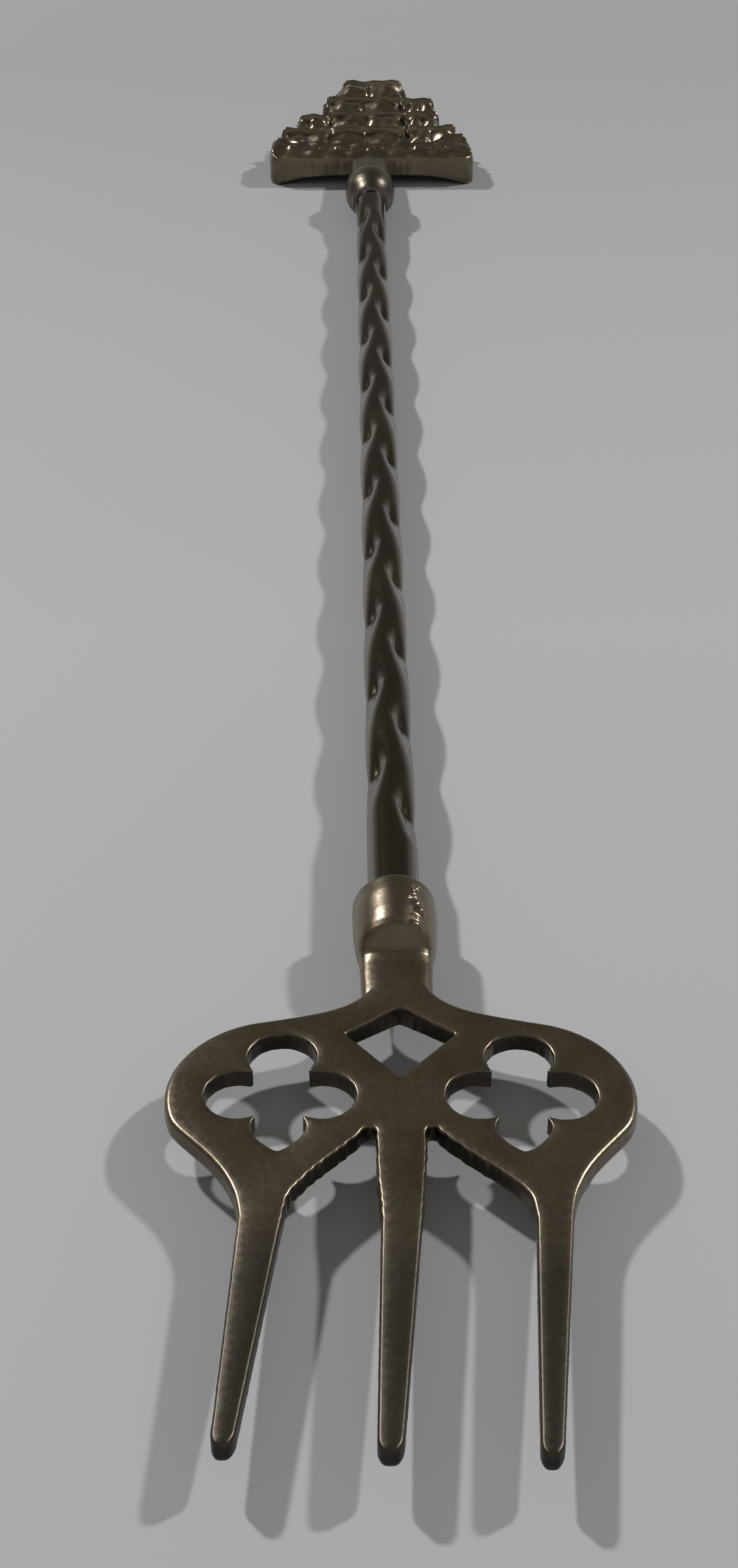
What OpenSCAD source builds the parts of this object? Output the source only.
// Brass toasting fork: a pierced three-tined head and a cast ship finial,
// each socketed and soldered on one end of a round shaft with notched flanks.
// It lies on its back with the tines towards -Y, the finial towards +Y and
// the table at z = 0. Every length is in millimetres.

/* [Shaft] */
// Height of the shaft's axis above the table, which is also the sockets' radius
axis_z = 6.4; // [5.5:0.1:9]
// Length of shaft between the two sockets
shaft_len = 301; // [120:1:400]
// Diameter of the shaft at the head
shaft_d = 8.0; // [6:0.1:8.6]
// Diameter of the shaft at the finial
shaft_end_d = 7.6; // [5.5:0.1:8.6]
// Plain length between the head's socket and the first notch
plain_len = 23.7; // [13:0.1:30]
// Distance from one notch to the next along the same flank
notch_pitch = 25.2; // [15:0.1:40]
// Distance from a notch on the right flank to the next one on the left
notch_offset = 11.6; // [5:0.1:14]
// Depth of a notch at the middle of its flank
notch_depth = 1.7; // [0.4:0.1:2.2]
// Angle from the top of the shaft to the middle of a flank
flank_angle = 50; // [35:1:60]
// Angle from the middle of a flank to where its notches die out
flank_spread = 60; // [30:1:60]
// How far a notch leans towards the head between the top and the side
notch_lean = 3.0; // [0:0.1:5]

/* [Sockets] */
// Length of each socket's barrel
socket_len = 12.3; // [9:0.1:20]
// Thickness of the wall that closes a socket's blind end
socket_end = 1.8; // [1:0.1:4]
// Clearance between the shaft and its bore, filled with solder
solder_gap = 0.2; // [0.15:0.05:0.4]
// Width of the solder's fillet at a socket's mouth
fillet_w = 0.5; // [0.2:0.1:0.9]
// How much a barrel narrows from its belly to each end
barrel_fall = 0.6; // [0.1:0.1:0.7]
// Radius of the rounding at a barrel's two ends
rim_r = 0.9; // [0.3:0.1:0.9]
// Width of the neck between a barrel and its casting
neck_w = 9.4; // [7:0.1:10]
// Height of the neck where it leaves the barrel
neck_t = 4.6; // [4:0.1:7]
// Length of the head's neck between the barrel and the plate
neck_len = 9.7; // [5:0.1:20]

/* [Head plate] */
// Thickness of the plate
plate_t = 3.5; // [2.5:0.1:5]
// Radius of each of the plate's two round lobes
lobe_r = 15.7; // [14:0.1:17]
// Distance from the fork's middle line to the centre of a lobe
lobe_x = 16.4; // [15.5:0.1:18]
// Distance from the outer tines' roots to the centres of the lobes
lobe_y = 23.6; // [22:0.1:26]
// Distance from the outer tines' roots to the plate's shoulder
plate_len = 46; // [44:0.1:50]
// Height of the gap between two tines above the outer roots
gap_rise = 17.4; // [12:0.1:18]
// Angle by which the plate sits askew on its neck
plate_turn = 0.9; // [0:0.1:3]

/* [Openings] */
// Diameter of a quatrefoil's side lobes and top lobe
foil_d = 9.5; // [8:0.1:10]
// Distance from a quatrefoil's middle to the centre of each side lobe
foil_side = 5.55; // [5:0.05:6]
// Distance from a quatrefoil's middle up to the centre of its top lobe
foil_top = 7.8; // [7:0.1:8.5]
// Distance from a quatrefoil's middle down to its bottom point
foil_point = 11.1; // [10:0.1:12]
// Width of a quatrefoil's bottom lobe
foil_foot_w = 7.3; // [6:0.1:8]
// Width of the kite-shaped opening
kite_w = 15.1; // [10:0.1:16]
// Height of the kite above its widest line
kite_top = 5.5; // [4:0.1:6]
// Depth of the kite below its widest line
kite_bottom = 9.0; // [6:0.1:10]
// Distance from the plate's shoulder down to the kite's widest line
kite_drop = 9.7; // [9:0.1:12]

/* [Tines] */
// Length of the tines from the outer roots to the tips
tine_len = 38.5; // [20:0.5:90]
// Distance from the middle tine to each outer tine
tine_pitch = 18.8; // [17:0.1:20]
// Width of a tine at the outer roots
tine_root_w = 5.4; // [4:0.1:6.5]
// Width of a tine at its tip
tine_tip_w = 3.3; // [2:0.1:4]
// Angle by which the left tine is bent towards the left
left_bend = 2.6; // [-4:0.1:4]
// Angle by which the middle tine is bent towards the left
middle_bend = 0.6; // [-4:0.1:4]
// Angle by which the right tine is bent towards the left
right_bend = 2.8; // [-4:0.1:4]
// Length of the bevel that is ground on each tip
tip_bevel = 2.4; // [1:0.1:4]

/* [Finial] */
// Width of the finial's back between the outer edges of its two feet
feet_w = 52; // [40:0.5:54]
// Length of the neck between the finial's barrel and the ship
finial_neck = 19.7; // [6:0.1:30]
// Thickness of the finial's back plate
finial_t = 5; // [4:0.1:6]
// Height of the ship's side above the back plate
side_rise = 2.4; // [1:0.1:4]
// Height of the sails' crowns above the back plate
sail_rise = 3.6; // [1.5:0.1:4.5]
// Height of the arched hollow under the back plate
back_hollow = 2.4; // [0.5:0.1:3]
// Width of the flat foot on each side of the hollow
foot_w = 4.5; // [3:0.1:8]
// Thickness of the masts and the yards
spar_d = 1.8; // [1:0.1:2.5]

/* [Hidden] */
brass = "#8a7544";
solder_grey = "#9b978c";
eps = 0.01;

// Places along the fork, worked out from the tips of the tines
ship_len = 59;
total_len = tine_len + plate_len + neck_len + 2 * socket_len + shaft_len
    + finial_neck + ship_len;
tip_y = -total_len / 2;
root_y = tip_y + tine_len;
shoulder_y = root_y + plate_len;
head_mouth_y = shoulder_y + neck_len + socket_len;
finial_mouth_y = head_mouth_y + shaft_len;
ship_y = finial_mouth_y + socket_len + finial_neck;
bore_len = socket_len - socket_end;

// Points of an arc round c from angle a0 to angle a1 in n steps
function arc(c, r, a0, a1, n) =
    [for (i = [0:n]) let (a = a0 + (a1 - a0) * i / n) c + r * [cos(a), sin(a)]];

// Points of a cubic curve from p0 to p3, drawn towards p1 and p2, without its first point
function curve(p0, p1, p2, p3, n) =
    [for (i = [1:n]) let (t = i / n, u = 1 - t)
        u * u * u * p0 + 3 * u * u * t * p1 + 3 * u * t * t * p2 + t * t * t * p3];

// The same points on the other side of the middle line, in the opposite order
function mirrored(points) =
    [for (i = [len(points) - 1:-1:0]) [-points[i][0], points[i][1]]];

// A body of revolution about the shaft's axis, which starts at y
module along_shaft(y) {
    translate([0, y, axis_z]) rotate([-90, 0, 0]) children();
}

// Number of notches that fit on each flank
notch_count = 1 + floor((shaft_len - plain_len - notch_offset - notch_pitch / 2) / notch_pitch);

// How much of a notch is left at s: 1 in a notch, 0 from the middle of a lobe on
function notch(s, first) =
    let (k = min(max(round((s - first) / notch_pitch), 0), notch_count - 1),
        d = abs(s - first - k * notch_pitch) / (notch_pitch / 2))
    pow(max(1 - d, 0), 2);

// How much of a notch is left at angle a from the top, 0 at the top and the underside
function flank(a) =
    let (f = abs(a) > 90 ? 180 - abs(a) : abs(a), d = abs(f - flank_angle) / flank_spread)
    d < 1 ? pow(cos(90 * d), 2) : 0;

// The notched length ends where the last lobe has risen back to the full round
notch_start = plain_len - notch_pitch / 2;
notch_end = plain_len + notch_offset + (notch_count - 0.5) * notch_pitch;

// Radius of the notched length, a hair less than that of the plain ends which it runs into
HAIR = 0.02;
function base_r(s) =
    let (t = (s - notch_start) / (notch_end - notch_start))
    (shaft_d + (shaft_end_d - shaft_d) * t) / 2 - HAIR;
function shaft_r(a, s) =
    base_r(s) - notch_depth * flank(a) * notch(s, a < 0 ? plain_len + notch_offset : plain_len);

// Sides of the notched length, and rings from a notch to the next on the other flank
SIDES = 24;
STEPS = 5;
// Ring places: every notch on either flank falls on a ring of its own
rings = [
    for (i = [STEPS:-1:1]) plain_len - notch_pitch / 2 * i / STEPS,
    for (k = [0:notch_count - 1])
        each [
            for (i = [0:STEPS - 1]) plain_len + k * notch_pitch + notch_offset * i / STEPS,
            for (i = [0:STEPS - 1])
                plain_len + k * notch_pitch + notch_offset
                    + (notch_pitch - notch_offset) * i / STEPS
        ],
    notch_end
];

// A ring bows towards the head at the sides, less so near the pattern's two ends
function ring_bow(a, s) =
    notch_lean * pow(sin(a), 2) * min(1, (s - notch_start) / 4, (notch_end - s) / 4);

module notched_length() {
    n = len(rings);
    points = [
        for (s = rings)
            for (j = [0:SIDES - 1])
                let (a = -180 + 360 * j / SIDES, r = shaft_r(a, s))
                [r * sin(a), s - ring_bow(a, s), r * cos(a)]
    ];
    faces = [
        [for (j = [0:SIDES - 1]) j],
        for (i = [0:n - 2])
            for (j = [0:SIDES - 1])
                let (k = (j + 1) % SIDES)
                each [
                    [i * SIDES + j, (i + 1) * SIDES + j, (i + 1) * SIDES + k],
                    [i * SIDES + j, (i + 1) * SIDES + k, i * SIDES + k]
                ],
        [for (j = [SIDES - 1:-1:0]) (n - 1) * SIDES + j]
    ];
    translate([0, head_mouth_y, axis_z]) polyhedron(points, faces, convexity = 8);
}

module shaft() {
    color(brass) {
        notched_length();
        along_shaft(head_mouth_y - bore_len + solder_gap)
            cylinder(h = bore_len - solder_gap + notch_start + 1, d = shaft_d, $fn = 64);
        along_shaft(head_mouth_y + notch_end - 1)
            cylinder(h = shaft_len - notch_end + 1 + bore_len - solder_gap, d = shaft_end_d, $fn = 64);
    }
}

// A barrel with its mouth at z = 0, a slight belly and rounded ends
module barrel(shaft_dia) {
    half = socket_len / 2;
    end_r = axis_z - barrel_fall;
    belly = [
        for (i = [-4:4])
            let (z = half + i / 4 * (half - rim_r))
            [axis_z - barrel_fall * pow(i / 4, 2), z]
    ];
    difference() {
        rotate_extrude($fn = 96)
            polygon(concat(
                [[0, 0]],
                arc([end_r - rim_r, rim_r], rim_r, -90, 0, 5),
                [for (i = [1:7]) belly[i]],
                arc([end_r - rim_r, socket_len - rim_r], rim_r, 0, 90, 5),
                [[0, socket_len]]
            ));
        translate([0, 0, -1]) cylinder(h = bore_len + 1, d = shaft_dia + 2 * solder_gap, $fn = 96);
    }
}

// The solder that fills a bore round the shaft's end, with a fillet at the mouth
module solder(shaft_dia) {
    r = shaft_dia / 2;
    rotate_extrude($fn = 96)
        polygon([
            [0, bore_len],
            [0, bore_len - solder_gap],
            [r, bore_len - solder_gap],
            [r, -fillet_w],
            [r + solder_gap + fillet_w, 0],
            [r + solder_gap, 0],
            [r + solder_gap, bore_len]
        ]);
}

// A flat bar with rounded edges, across the fork at y
module neck_section(w, t, y) {
    round_r = t * 0.3;
    translate([0, y, axis_z])
        rotate([90, 0, 0])
            linear_extrude(eps)
                offset(round_r, $fn = 20)
                    square([w - 2 * round_r, t - 2 * round_r], center = true);
}

// Half of the plate's outline, from the shoulder round a lobe to the middle tine
plate_half = let (
    side = neck_w / 2,
    lobe = [lobe_x, lobe_y],
    lobe_start = lobe + lobe_r * [cos(78), sin(78)],
    lobe_end = lobe + lobe_r * [cos(18), -sin(18)],
    outer = tine_pitch + tine_root_w / 2,
    inner = tine_pitch - tine_root_w / 2,
    notch_r = 0.9,
    peak = [side - 0.46, gap_rise - notch_r]
) concat(
    [[side, plate_len + 1], [side, plate_len]],
    curve([side, plate_len], [side + 0.2, plate_len - 4.4], [side + 4.3, plate_len - 4.6], lobe_start, 10),
    [for (i = [1:19]) lobe + lobe_r * [cos(78 - 96 * i / 20), sin(78 - 96 * i / 20)]],
    [lobe_end],
    curve(lobe_end, lobe_end - 4 * [sin(18), cos(18)], [outer + 0.9, 10.5], [outer, 0.5], 8),
    [[outer, -1], [inner, -1]],
    [[inner - 0.4, 3.5]],
    curve([inner - 0.4, 3.5], [inner - 1.1, 7.5], [peak[0] + 4, peak[1] - 4.2],
        [peak[0] + notch_r, peak[1]], 8),
    [for (i = [1:6]) peak + notch_r * [cos(30 * i), sin(30 * i)]],
    [[tine_root_w / 2, -1]]
);

module foil_lobe(x, y, r) {
    translate([x, y, 0]) cylinder(h = plate_t + 2, r = r, center = true, $fn = 64);
}

// A quatrefoil with three round lobes and a pointed one, about its own middle
module quatrefoil() {
    r = foil_d / 2;
    foot_y = foil_point - 5;
    foot_bend = (foot_y - 1 < foil_foot_w) ? (25 / foil_foot_w + foil_foot_w / 4) : foil_foot_w;
    foil_lobe(foil_side, 0, r);
    foil_lobe(-foil_side, 0, r);
    foil_lobe(0, foil_top, r - 0.05);
    translate([0, 0, -plate_t / 2 - 1])
        linear_extrude(plate_t + 2)
            polygon([[-4.05, 4.7], [4.05, 4.7], [3.15, -4.5], [-3.15, -4.5]]);
    intersection() {
        foil_lobe(foot_bend - foil_foot_w / 2, -foot_y, foot_bend);
        foil_lobe(foil_foot_w / 2 - foot_bend, -foot_y, foot_bend);
    }
}

module kite() {
    corner = 0.6;
    translate([0, plate_len - kite_drop, -plate_t / 2 - 1])
        linear_extrude(plate_t + 2)
            hull() {
                for (x = [corner - kite_w / 2, kite_w / 2 - corner])
                    translate([x, 0]) circle(corner, $fn = 16);
                translate([0, kite_top - corner]) circle(corner, $fn = 16);
                translate([0, corner - kite_bottom]) circle(corner, $fn = 16);
            }
}

// A tine from its root down to a bevelled tip
module tine(x, bend) {
    root = tine_root_w / 2;
    tip = tine_tip_w / 2;
    translate([x, 0, 0])
        rotate([0, 0, -bend])
            difference() {
                translate([0, 0, -plate_t / 2])
                    linear_extrude(plate_t)
                        polygon([
                            [-root, 2], [-root, -0.5],
                            [-tip, 1.2 - tine_len], [0.6 - tip, -tine_len],
                            [tip - 0.6, -tine_len], [tip, 1.2 - tine_len],
                            [root, -0.5], [root, 2]
                        ]);
                translate([0, -tine_len, plate_t / 2])
                    rotate([-50, 0, 0])
                        translate([-tine_root_w, -tip_bevel * 2, -tip_bevel * 0.45])
                            cube([2 * tine_root_w, tip_bevel * 2, 2 * tip_bevel]);
            }
}

module plate() {
    translate([0, root_y, axis_z])
        translate([0, lobe_y, 0])
            rotate([0, 0, -plate_turn])
                translate([0, -lobe_y, 0]) {
                    difference() {
                        translate([0, 0, -plate_t / 2])
                            linear_extrude(plate_t)
                                polygon(concat(plate_half, mirrored(plate_half)));
                        translate([lobe_x, lobe_y, 0]) quatrefoil();
                        translate([-lobe_x, lobe_y, 0]) quatrefoil();
                        kite();
                    }
                    tine(-tine_pitch, left_bend);
                    tine(0, middle_bend);
                    tine(tine_pitch, right_bend);
                }
}

module fork_head() {
    color(brass) {
        plate();
        hull() {
            neck_section(neck_w - 0.4, plate_t, shoulder_y - 2);
            neck_section(neck_w + 0.4, neck_t, shoulder_y + neck_len + 0.5);
        }
        translate([0, head_mouth_y, axis_z]) rotate([90, 0, 0]) barrel(shaft_d);
    }
}

module head_solder() {
    color(solder_grey)
        translate([0, head_mouth_y, axis_z]) rotate([90, 0, 0]) solder(shaft_d);
}

module finial_solder() {
    color(solder_grey) along_shaft(finial_mouth_y) solder(shaft_end_d);
}

// Silhouette of the ship, its sails and its stern, keel on y = 0
ship_outline = [
    [-24, 0], [26, 0], [28.6, 2.5], [28, 7], [25.8, 12], [25, 19], [19.6, 19.4],
    [19.3, 29], [18.4, 41.5], [11.6, 41.5], [11.4, 50], [9.6, 58.4], [-5.4, 58.4],
    [-8, 50], [-11.2, 38], [-12.1, 26.4], [-18.6, 25.6], [-20.2, 18.5], [-24.2, 13],
    [-26, 7.5], [-26.5, 3]
];

// A sail that billows upwards out of the back plate
module sail(x, y, w_top, w_bottom, h) {
    rise = sail_rise + 1;
    half = sqrt(w_bottom * w_bottom + h * h) / 2;
    ball = (half * half + rise * rise) / (2 * rise);
    translate([x, y, finial_t - 1])
        intersection() {
            linear_extrude(rise + 1)
                polygon(concat(
                    [[w_top / 2, h], [-w_top / 2, h]],
                    curve([-w_top / 2, h], [-w_top / 2 + 0.5, h * 0.6], [-w_bottom / 2 + 0.4, h * 0.3],
                        [-w_bottom / 2, 0], 5),
                    curve([-w_bottom / 2, 0], [-w_bottom / 4, h * 0.12], [w_bottom / 4, h * 0.12],
                        [w_bottom / 2, 0], 5),
                    curve([w_bottom / 2, 0], [w_bottom / 2 - 0.4, h * 0.3], [w_top / 2 - 0.5, h * 0.6],
                        [w_top / 2, h], 4)
                ));
            translate([0, h * 0.42, rise - ball]) sphere(ball, $fn = 96);
        }
}

// A spar that lies half in the back plate, from one point to another
module spar(a, b) {
    d = b - a;
    translate([a[0], a[1], finial_t])
        rotate([0, 0, atan2(d[1], d[0])])
            rotate([0, 90, 0]) cylinder(h = norm(d), d = spar_d, $fn = 24);
}

module ship() {
    feet_x = 0.8;
    fore_x = -15.6;
    main_x = 0.4;
    mizzen_x = 15.4;
    difference() {
        union() {
            linear_extrude(finial_t) polygon(ship_outline);
            // The ship's side, with its bow on the left and its raised stern on the right
            linear_extrude(finial_t + side_rise)
                polygon([
                    [-24, 0], [26, 0], [28.6, 2.5], [28, 7], [25.8, 12], [25, 19], [20.6, 19.3],
                    [19, 12.8], [12, 11], [-12, 10], [-19, 11], [-24.2, 13], [-26, 7.5], [-26.5, 3]
                ]);
            spar([fore_x, 8], [fore_x, 24.6]);
            spar([main_x, 8], [main_x + 1.6, 57.8]);
            spar([mizzen_x, 10], [mizzen_x, 40.6]);
            sail(fore_x, 12.2, 7.4, 8.6, 6);
            sail(fore_x, 19, 5.6, 6.6, 5.8);
            sail(main_x - 0.4, 11.6, 20, 21.6, 12.6);
            sail(main_x, 25.4, 19.4, 21, 12.4);
            sail(main_x + 1, 39, 16.4, 18.4, 9.8);
            sail(main_x + 1.8, 50, 13.2, 15.6, 7.6);
            sail(mizzen_x, 20.4, 7, 7.4, 9);
            sail(mizzen_x, 30.6, 5.4, 6.6, 9.4);
        }
        // The arched hollow leaves a flat foot on each side
        half = feet_w / 2 - foot_w;
        bow_r = (half * half + back_hollow * back_hollow) / (2 * back_hollow);
        translate([feet_x, -1, back_hollow - bow_r])
            rotate([-90, 0, 0]) cylinder(h = ship_len + 2, r = bow_r, $fn = 256);
    }
}
module finial() {
    color(brass) {
        translate([0, ship_y, 0]) ship();
        hull() {
            neck_section(neck_w + 0.4, neck_t, finial_mouth_y + socket_len - 0.5);
            neck_section(neck_w, neck_t - 0.8, ship_y + 3);
        }
        along_shaft(finial_mouth_y) barrel(shaft_end_d);
    }
}

fork_head();
shaft();
finial();
head_solder();
finial_solder();
